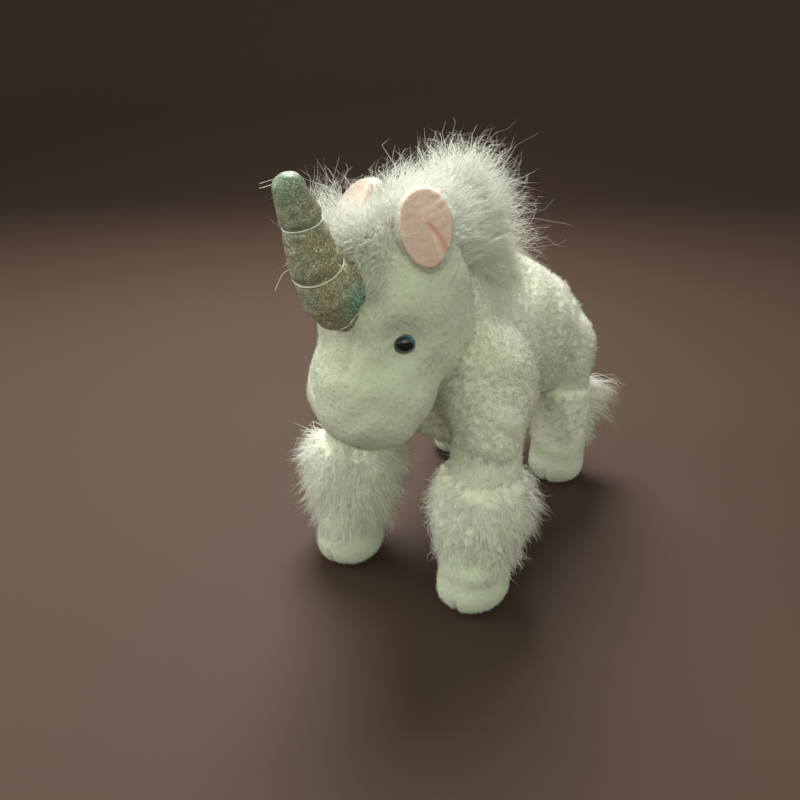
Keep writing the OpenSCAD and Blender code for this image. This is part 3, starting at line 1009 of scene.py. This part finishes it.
for s, word in ((1, "left"), (-1, "right")):
    R = ear_frame(s)
    root = EAR[s]["root"]

    def ear_local(p, R=R, root=root):
        return (to_head(p) - root) @ R

    def ear_f(p, ear_local=ear_local):
        q = ear_local(p)
        x, y, z = q.T
        y = y + 0.018 * x * x - 0.003 * (z - 14) ** 2 + 0.8
        prof = np.sqrt((x / (9.7 - 0.06 * np.maximum(0, 10 - z))) ** 2 + ((z - 14.6) / 14.6) ** 2)
        plate = (prof - 1) * 9.5
        thick = 2.5 - 0.7 * smooth(prof)
        d = np.abs(y) - thick + 1.4
        d2 = plate + 1.4
        return np.minimum(np.maximum(d, d2), 0) + np.hypot(np.maximum(d, 0), np.maximum(d2, 0)) - 1.4

    def lining_f(p, ear_local=ear_local):
        q = ear_local(p)
        x, y, z = q.T
        y = y + 0.018 * x * x - 0.003 * (z - 14) ** 2 + 0.8
        prof = np.sqrt((x / (9.2 - 0.05 * np.maximum(0, 10 - z))) ** 2 + ((z - 14.4) / 14.0) ** 2)
        d = np.abs(y + 2.6 + 0.5 * (1 - smooth(prof))) - 1.1
        d2 = (prof - 1) * 8
        e = 0.5
        return np.minimum(np.maximum(d + e, d2 + e), 0) + np.hypot(np.maximum(d + e, 0), np.maximum(d2 + e, 0)) - e

    centre = from_head(root + R @ np.array([0, 0, 15.0]))
    lo, hi = centre - 22, centre + 22
    back_obj, ev, eq = skin(f"ear_{word}_cover", ear_f, lo, hi, 0.8, [m_smooth],
                            lambda v, g: v + g * (0.2 * waves(v, 4, 30, 81))[:, None])
    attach(back_obj, f"ear_{word}")
    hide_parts(f"ear_{word}_back")

    def fold_at(v, ear_local=ear_local, s=s):
        """A curved fold sewn into the middle of the lining."""
        q = ear_local(v)
        t = np.clip((q[:, 2] - 5) / 11, 0, 1)
        line = s * (6.2 - 5.6 * t**1.8)
        return np.exp(-(((q[:, 0] - line) / 0.8) ** 2)) * smooth((q[:, 2] - 3.5) / 2.5) * smooth((17 - q[:, 2]) / 2) * (q[:, 1] < -1)

    def crease(v, g, fold_at=fold_at):
        return v - g * (0.45 * fold_at(v))[:, None] + g * (0.12 * waves(v, 3, 30, 82))[:, None]

    def from_dir(w):
        return turn_vec(w, TURN)

    m_ear = fabric(f"ear_lining_fabric_{word}", (0.76, 0.52, 0.46), (0.86, 0.62, 0.56), 1600, 0.3, 0.0002, sheen=0.5)
    lin, gv, gq = skin(f"ear_{word}_pink_lining", lining_f, lo, hi, 0.6, [m_ear], crease)
    # Along the fold the lining colour is mixed towards a darker red (0.74, 0.30, 0.25): painted shade in the crease.
    fold = lin.data.attributes.new("fold", "FLOAT", "POINT")
    fold.data.foreach_set("value", fold_at(gv).astype(np.float32))
    be = m_ear.node_tree.nodes["Principled BSDF"]
    old = be.inputs["Base Color"].links[0].from_socket
    fa = node(m_ear, "ShaderNodeAttribute", attribute_name="fold")
    fold_shade_mix = node(m_ear, "ShaderNodeMix", data_type="RGBA")
    link(m_ear, fa, "Fac", fold_shade_mix, "Factor")
    m_ear.node_tree.links.new(old, fold_shade_mix.inputs[6])
    fold_shade_mix.inputs[7].default_value = (0.74, 0.30, 0.25, 1)
    m_ear.node_tree.links.new(fold_shade_mix.outputs[2], be.inputs["Base Color"])
    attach(lin, f"ear_{word}")
    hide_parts(f"ear_{word}_lining")
    pile(f"ear_{word}_nap", ev, eq, ear_f, 5000, 2.0, 0.11, f"ear_{word}", 170 + s,
         lambda c, ear_local=ear_local: (lining_f(c) > 0.7) * (head_f(c) > -1) * (ear_local(c)[:, 1] > -3.2) + 1e-9,
         comb=(0, 0, 0.1), curl=0.5, mats=[m_fur, m_pile2], share=(0.8, 0.2), k=2, gather=0.1)
    m_pinknap = hair(f"ear_lining_nap_{word}", (0.88, 0.66, 0.60))
    # On the right ear the lining nap is mostly white hairs (0.35 pink, 0.65 white): painted highlight where strong
    # light washes the pink lining out.
    pile(f"ear_{word}_pink_nap", gv, gq, lining_f, 6000, 0.9, 0.10, f"ear_{word}", 180 + s,
         lambda c, fold_at=fold_at: (ear_f(c) > 0.1) * (fold_at(c) < 0.3) + 1e-9, comb=(0, 0, -0.3), curl=0.1,
         mats=[m_pinknap, m_fur], share=(0.94, 0.06) if s > 0 else (0.35, 0.65), k=2, gather=0.1)

# ---------------------------------------------------------------- horn

# The middle line of the horn in the head frame, from under its seam to its tip, and its radius along it
HORN_AT = np.array([-9.0, 0.0, 10.2, 23.0, 40.5, 52.5, 58.0])
HORN_MID = np.array([
    [4.0, -81.0, 140.4], [3.4, -90.2, 142.8], [2.4, -93.2, 149.8], [1.0, -99.3, 159.2],
    [0.0, -104.2, 176.0], [0.0, -108.7, 187.1], [0.0, -110.8, 192.2],
])
HORN_END = 58.0
RADIUS_AT = np.array([-9.0, -1.0, 0.0, 2.0, 5.0, 8.0, 12.0, 18.0, 22.0, 23.0, 25.0, 32.0, 39.0, 40.5, 43.0, 50.0, 53.0])
RADIUS = np.array([5.8, 7.6, 8.0, 9.8, 11.6, 12.5, 12.6, 11.3, 10.0, 9.7, 9.8, 8.6, 7.5, 7.3, 7.5, 6.1, 5.7])
TIP_R = 5.6


def horn_centre(t):
    """Cubic through the points of the middle line."""
    t = np.asarray(t, float)
    slope = np.gradient(HORN_MID, HORN_AT, axis=0)
    i = np.clip(np.searchsorted(HORN_AT, t, side="right") - 1, 0, len(HORN_AT) - 2)
    h = HORN_AT[i + 1] - HORN_AT[i]
    u = ((t - HORN_AT[i]) / h)[..., None]
    h = h[..., None]
    return (
        HORN_MID[i] * (2 * u**3 - 3 * u**2 + 1)
        + slope[i] * h * (u**3 - 2 * u**2 + u)
        + HORN_MID[i + 1] * (3 * u**2 - 2 * u**3)
        + slope[i + 1] * h * (u**3 - u**2)
    )


def horn_sides(t):
    t = np.asarray(t, float)
    along = unit(horn_centre(t + 0.3) - horn_centre(t - 0.3))
    across = np.array([1.0, 0, 0]) - along * along[..., :1]
    across = unit(across)
    return across, np.cross(along, across)


def horn_radius(t):
    soft = sum(np.interp(t + d, RADIUS_AT, RADIUS) * w for d, w in ((-0.8, 0.25), (0, 0.5), (0.8, 0.25)))
    cap = np.clip((t - (HORN_END - TIP_R)) / TIP_R, 0, 1)
    return soft * np.sqrt(np.maximum(1 - cap**2.2, 0))


WRAPS = ((0.3, 0.0), (23.0, -1.4), (40.5, -0.6))
rows, cols = 170, 96
tt = np.concatenate([np.linspace(-9.0, 50.0, rows - 30), 50.0 + 8.0 * np.sin(np.linspace(0, math.pi / 2, 31)[1:])])
ang = np.linspace(0, 2 * math.pi, cols, endpoint=False)
T, A = np.meshgrid(tt, ang, indexing="ij")
rad = horn_radius(T)
for at, tilt in WRAPS:
    rad = rad - 0.75 * np.exp(-(((T - at - tilt * np.cos(A)) / 1.2) ** 2)) * (1 if at > 1 else 0.4)
rad = rad + 0.30 * np.sin(A * 7 + np.sin(T * 0.6) * 1.4) * np.exp(-(((T - 23) / 5) ** 2))
rad = rad + 0.22 * np.sin(A * 6 + 1 + np.sin(T * 0.5) * 1.2) * np.exp(-(((T - 40.5) / 5) ** 2))
rad = rad + 0.40 * np.sin(A * 11 + 2) * np.exp(-(((T - 1.0) / 3.5) ** 2))
rad = np.maximum(rad, 0.02)
flat_t = T.ravel()
ax_, fr_ = horn_sides(flat_t)
mid_ = horn_centre(flat_t)
pts = mid_ + rad.ravel()[:, None] * (np.cos(A).ravel()[:, None] * ax_ + np.sin(A).ravel()[:, None] * fr_)
pts += unit(pts - mid_) * (0.14 * waves(pts, 4.5, 30, 91))[:, None]
n_rows = len(tt)
quads = np.concatenate([
    np.stack([i * cols + np.arange(cols), i * cols + (np.arange(cols) + 1) % cols,
              (i + 1) * cols + (np.arange(cols) + 1) % cols, (i + 1) * cols + np.arange(cols)], 1)
    for i in range(n_rows - 1)
])
pts = np.concatenate([pts, horn_centre(np.array([-9.0])), horn_centre(np.array([HORN_END]))])
j = np.arange(cols)
cap0 = np.stack([np.full(cols, len(pts) - 2), (j + 1) % cols, j], 1)
top = (n_rows - 1) * cols
cap1 = np.stack([top + j, top + (j + 1) % cols, np.full(cols, len(pts) - 1)], 1)

m_horn = material("horn_glitter_fabric", (0.32, 0.29, 0.20), 0.5, 0.15, Specular_IOR_Level=0.5)
b = m_horn.node_tree.nodes["Principled BSDF"]
geo = node(m_horn, "ShaderNodeTexCoord")
flake = node(m_horn, "ShaderNodeTexVoronoi", Scale=2300.0)
blotch = node(m_horn, "ShaderNodeTexNoise", Scale=150.0, Detail=3.0)
zone = node(m_horn, "ShaderNodeTexNoise", Scale=45.0, Detail=2.0)
for x in (flake, blotch, zone):
    link(m_horn, geo, "Object", x, "Vector")
r1 = ramp(m_horn, [(0.0, (0.20, 0.165, 0.105)), (0.4, (0.29, 0.25, 0.165)), (0.8, (0.40, 0.36, 0.25)), (0.94, (0.52, 0.52, 0.38)), (1.0, (0.74, 0.80, 0.66))])
sep = node(m_horn, "ShaderNodeSeparateColor")
link(m_horn, flake, "Color", sep, "Color")
link(m_horn, sep, "Red", r1, "Fac")
r2 = ramp(m_horn, [(0.0, (0.07, 0.17, 0.15)), (0.5, (0.17, 0.30, 0.25)), (0.85, (0.30, 0.44, 0.36)), (1.0, (0.6, 0.85, 0.78))])
link(m_horn, sep, "Green", r2, "Fac")
mixc = node(m_horn, "ShaderNodeMix", data_type="RGBA")
spot_at = from_head(np.array([12.5, -92.0, 148.5])) * MM
tip_at = from_head(np.array([0.0, -110.8, 191.0])) * MM
masks = []
for at, size, gain in ((spot_at, 0.0095, 1.0), (tip_at, 0.015, 0.6)):
    dist = node(m_horn, "ShaderNodeVectorMath", operation="DISTANCE")
    dist.inputs[1].default_value = tuple(at)
    link(m_horn, geo, "Object", dist, 0)
    fall = node(m_horn, "ShaderNodeMapRange")
    fall.inputs["From Min"].default_value = size * 0.35
    fall.inputs["From Max"].default_value = size
    fall.inputs["To Min"].default_value = gain
    fall.inputs["To Max"].default_value = 0.0
    link(m_horn, dist, "Value", fall, "Value")
    masks.append(fall)
zr = node(m_horn, "ShaderNodeMapRange")
zr.inputs["From Min"].default_value = 0.52
zr.inputs["From Max"].default_value = 0.75
zr.inputs["To Max"].default_value = 0.6
link(m_horn, zone, "Fac", zr, "Value")
mx = node(m_horn, "ShaderNodeMath", operation="MAXIMUM")
link(m_horn, masks[0], 0, mx, 0)
link(m_horn, masks[1], 0, mx, 1)
mx2 = node(m_horn, "ShaderNodeMath", operation="MAXIMUM")
link(m_horn, mx, 0, mx2, 0)
link(m_horn, zr, 0, mx2, 1)
link(m_horn, mx2, 0, mixc, "Factor")
m_horn.node_tree.links.new(r1.outputs["Color"], mixc.inputs[6])
m_horn.node_tree.links.new(r2.outputs["Color"], mixc.inputs[7])
m_horn.node_tree.links.new(mixc.outputs[2], b.inputs["Base Color"])
rr = node(m_horn, "ShaderNodeMapRange")
rr.inputs["To Min"].default_value = 0.35
rr.inputs["To Max"].default_value = 0.8
link(m_horn, sep, "Blue", rr, "Value")
link(m_horn, rr, 0, b, "Roughness")
bump = node(m_horn, "ShaderNodeBump", Strength=0.6, Distance=0.0003)
link(m_horn, sep, "Red", bump, "Height")
bump2 = node(m_horn, "ShaderNodeBump", Strength=0.5, Distance=0.0006)
link(m_horn, blotch, "Fac", bump2, "Height")
link(m_horn, bump2, "Normal", bump, "Normal")
link(m_horn, bump, "Normal", b, "Normal")

horn = mesh_object("horn_cover_fabric", from_head(pts), [quads, cap0, cap1], [m_horn])
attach(horn, "horn")
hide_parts("horn_cover", "horn_stuffing")


def tube(name, path, radius, mat, body, sides=8, closed=False):
    """A round thread along a path in millimetres, row frame."""
    path = np.asarray(path, float)
    n = len(path)
    if closed:
        t = unit(np.roll(path, -1, 0) - np.roll(path, 1, 0))
    else:
        t = unit(np.gradient(path, axis=0))
    u = unit(np.cross(t, [0.31, 0.52, 0.79]))
    v = np.cross(t, u)
    radius = np.broadcast_to(np.asarray(radius, float), (n,))
    ring = np.stack([
        path + radius[:, None] * (math.cos(a) * u + math.sin(a) * v)
        for a in np.linspace(0, 2 * math.pi, sides, endpoint=False)
    ], 1).reshape(-1, 3)
    last = n if closed else n - 1
    j = np.arange(sides)
    faces = np.concatenate([
        np.stack([i * sides + j, i * sides + (j + 1) % sides, ((i + 1) % n) * sides + (j + 1) % sides, ((i + 1) % n) * sides + j], 1)
        for i in range(last)
    ])
    polys = [faces]
    if not closed:
        ring = np.concatenate([ring, path[:1], path[-1:]])
        polys.append(np.stack([np.full(sides, n * sides), (j + 1) % sides, j], 1))
        polys.append(np.stack([(n - 1) * sides + j, (n - 1) * sides + (j + 1) % sides, np.full(sides, n * sides + 1)], 1))
    obj = mesh_object(name, ring, polys, [mat])
    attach(obj, body)
    return obj


def on_horn(t, a, lift=0.15):
    t, a = np.asarray(t, float), np.asarray(a, float)
    r = horn_radius(t) - 0.55 + lift
    across, front = horn_sides(t)
    return from_head(horn_centre(t) + r[:, None] * (np.cos(a)[:, None] * across + np.sin(a)[:, None] * front))


for i, (at, tilt) in enumerate(WRAPS):
    a = np.linspace(0, 2 * math.pi, 72, endpoint=False)
    tube(f"horn_thread_wrap_{i + 1}", on_horn(at + tilt * np.cos(a), a, 0.3), 0.34, m_thread, "horn", closed=True)


def loose(name, points, radius):
    """A loose end of thread through a few points in the head frame."""
    points = np.array(points, float)
    k = np.linspace(0, len(points) - 1, 8 * (len(points) - 1) + 1)
    path = np.stack([np.interp(k, np.arange(len(points)), points[:, a]) for a in range(3)], 1)
    for _ in range(4):
        path[1:-1] = (path[:-2] + 2 * path[1:-1] + path[2:]) / 4
    obj = tube(name, from_head(path), radius, m_thread, "horn", sides=6)


loose("horn_thread_end_1", [(9.6, -98.0, 163.0), (12.0, -96.0, 160.2), (11.8, -94.6, 158.5), (11.4, -91.5, 158.0), (11.2, -88.3, 158.0), (11.0, -84.5, 158.4)], 0.24)
loose("horn_thread_end_2", [(-4.2, -105.5, 160.4), (-5.9, -108.9, 158.9), (-6.3, -111.1, 156.1), (-6.2, -113.1, 152.9)], 0.13)
loose("horn_thread_end_3", [(-3.4, -110.8, 189.0), (-5.6, -114.0, 187.8), (-6.9, -115.4, 187.4)], 0.14)
loose("horn_thread_end_4", [(-3.0, -110.2, 190.4), (-5.0, -113.6, 189.6), (-6.1, -115.8, 188.9)], 0.11)
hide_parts("horn_thread")

# ---------------------------------------------------------------- eyes

m_eye = material("eye_gloss_plastic", (0.004, 0.005, 0.008), 0.08, Coat_Weight=1.0, Coat_Roughness=0.03)
b = m_eye.node_tree.nodes["Principled BSDF"]
geo = node(m_eye, "ShaderNodeTexCoord")
attr = node(m_eye, "ShaderNodeAttribute", attribute_name="from_axis")
r = ramp(m_eye, [(0.0, (0.003, 0.004, 0.006)), (0.62, (0.003, 0.005, 0.008)), (0.74, (0.006, 0.07, 0.11)), (0.88, (0.012, 0.20, 0.29)), (0.97, (0.004, 0.05, 0.08)), (1.0, (0.002, 0.003, 0.004))])
glit = node(m_eye, "ShaderNodeTexVoronoi", Scale=5200.0)
link(m_eye, geo, "Object", glit, "Vector")
hsv = node(m_eye, "ShaderNodeHueSaturation")
sepe = node(m_eye, "ShaderNodeSeparateColor")
link(m_eye, glit, "Color", sepe, "Color")
val = node(m_eye, "ShaderNodeMapRange")
val.inputs["To Min"].default_value = 0.6
val.inputs["To Max"].default_value = 1.5
link(m_eye, sepe, "Red", val, "Value")
link(m_eye, val, 0, hsv, "Value")
link(m_eye, attr, "Fac", r, "Fac")
link(m_eye, r, "Color", hsv, "Color")
link(m_eye, hsv, "Color", b, "Base Color")

for s, word in ((1, "left"), (-1, "right")):
    c = np.array([0, -61.0, 144.0])
    d = unit(np.array([24.0 * s, -17, -16]))
    at = c + d * 29.6
    side = unit(np.cross(d, [0, 0, 1]))
    upv = np.cross(side, d)
    rr_, aa = np.meshgrid(np.linspace(0, 1, 15)[1:], np.linspace(0, 2 * math.pi, 48, endpoint=False), indexing="ij")
    R_EYE = 4.2
    prof = np.sqrt(np.maximum(1 - rr_**2, 0)) * 2.5
    pts = at + (rr_ * R_EYE)[..., None] * (np.cos(aa)[..., None] * side + np.sin(aa)[..., None] * upv) + prof[..., None] * d
    pts = pts.reshape(-1, 3)
    rim = at + R_EYE * (np.cos(aa[-1])[:, None] * side + np.sin(aa[-1])[:, None] * upv) - 2.0 * d
    pts = np.concatenate([pts, rim, (at + 2.5 * d)[None], (at - 2.0 * d)[None]])
    nr, nc = rr_.shape
    j = np.arange(nc)
    quads = np.concatenate([
        np.stack([i * nc + j, (i + 1) * nc + j, (i + 1) * nc + (j + 1) % nc, i * nc + (j + 1) % nc], 1) for i in range(nr)
    ])
    tri = np.stack([np.full(nc, (nr + 1) * nc), j, (j + 1) % nc], 1)
    tri2 = np.stack([np.full(nc, (nr + 1) * nc + 1), nr * nc + (j + 1) % nc, nr * nc + j], 1)
    eye = mesh_object(f"eye_{word}_dome", from_head(pts), [quads, tri, tri2], [m_eye])
    # the blue of the iris shows as a thin crescent on the outer upper side
    outer = np.array([0.66 * s, 0.70, 0.12])
    facing = np.cos(aa) * (side @ outer) + np.sin(aa) * (upv @ outer)
    w = np.concatenate([(rr_ * (0.58 + 0.36 * np.maximum(facing, -0.5))).ravel(), np.ones(nc), [0.0, 1.0]])
    at_ = eye.data.attributes.new("from_axis", "FLOAT", "POINT")
    at_.data.foreach_set("value", w.astype(np.float32))
    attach(eye, "head")
    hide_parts(f"eye_{word}")

# Mouth
a = np.linspace(-1, 1, 25)
mouth = np.stack([a * 6.5, -76 - 22.6 * np.cos(a * 0.30) * 0.55, 82.8 - 0.8 * (1 - a**2)], 1)
g = gradient(head_f, from_head(mouth))
pm = from_head(mouth)
for _ in range(6):
    g = gradient(head_f, pm)
    pm = pm - (head_f(pm) / (g * g).sum(1))[:, None] * g
pm = pm - unit(g) * 0.5
ms = tube("mouth_thread", pm, 0.45, m_stitch, "head")
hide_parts("mouth_stitch")

# CAD nodes that stay
m_washer = fabric("washer_plastic_grain", (0.55, 0.56, 0.55), (0.72, 0.72, 0.70), 2200, 0.1, 0.0001, rough=0.4, sheen=0.0)
for n_ in ("eye_washer_left", "eye_washer_right"):
    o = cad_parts[n_]
    o.data.materials.clear()
    o.data.materials.append(m_washer)

# ---------------------------------------------------------------- floor, light, camera

m_floor = material("floor_paper", (0.055, 0.026, 0.018), 0.75)
mesh = bpy.data.meshes.new("floor")
sweep = [(-4.0, 0.0), (1.2, 0.0)]
sweep += [(1.2 + 0.9 * math.sin(a), 0.9 - 0.9 * math.cos(a)) for a in np.linspace(0.08, math.pi / 2, 18)]
sweep += [(2.1, 4.0)]
turned = math.radians(30.1)
rows_ = []
for off, up_ in sweep:
    for across in (-6.0, 6.0):
        rows_.append((across * math.cos(turned) - off * math.sin(turned), across * math.sin(turned) + off * math.cos(turned), up_))
mesh.from_pydata(rows_, [], [(2 * i, 2 * i + 1, 2 * i + 3, 2 * i + 2) for i in range(len(sweep) - 1)])
mesh.shade_smooth()
mesh.materials.append(m_floor)
floor = bpy.data.objects.new("floor", mesh)
bpy.context.scene.collection.objects.link(floor)


def area(name, at, aim, size, power, color=(1, 1, 1)):
    light = bpy.data.lights.new(name, "AREA")
    light.shape = "DISK"
    light.size = size
    light.energy = power
    light.color = color
    o = bpy.data.objects.new(name, light)
    o.location = at
    o.rotation_mode = "QUATERNION"
    o.rotation_quaternion = (Vector(aim) - Vector(at)).to_track_quat("-Z", "Y")
    bpy.context.scene.collection.objects.link(o)
    return o


area("key", (-0.34, 0.34, 0.95), (0, 0, 0.1), 0.6, 17.0, (1.0, 1.0, 0.92))
area("side", (-0.75, -0.45, 0.45), (0, 0, 0.1), 0.6, 3.4, (1.0, 1.0, 0.86))
area("fill", (0.6, -0.8, 0.55), (0, 0, 0.1), 1.0, 2.7, (0.93, 1.0, 0.76))
world = bpy.data.worlds.new("studio")
bpy.context.scene.world = world
world.use_nodes = True
world.node_tree.nodes["Background"].inputs["Color"].default_value = (0.91, 1.0, 0.80, 1)
world.node_tree.nodes["Background"].inputs["Strength"].default_value = 0.50

cam_data = bpy.data.cameras.new("camera")
cam_data.lens = 28.8
cam_data.sensor_width = 36
cam_data.clip_start = 0.01
cam_data.clip_end = 20
cam = bpy.data.objects.new("camera", cam_data)
cam.location = (0.124, -0.278, 0.213)
back = Vector((
    math.sin(CAM_AZ) * math.cos(CAM_EL),
    -math.cos(CAM_AZ) * math.cos(CAM_EL),
    math.sin(CAM_EL),
))
cam.rotation_mode = "QUATERNION"
cam.rotation_quaternion = (-back).to_track_quat("-Z", "Y")
bpy.context.scene.collection.objects.link(cam)
bpy.context.scene.camera = cam
bpy.context.scene.view_settings.view_transform = "Standard"
bpy.context.scene.cycles.max_bounces = 16
bpy.context.scene.cycles.diffuse_bounces = 12
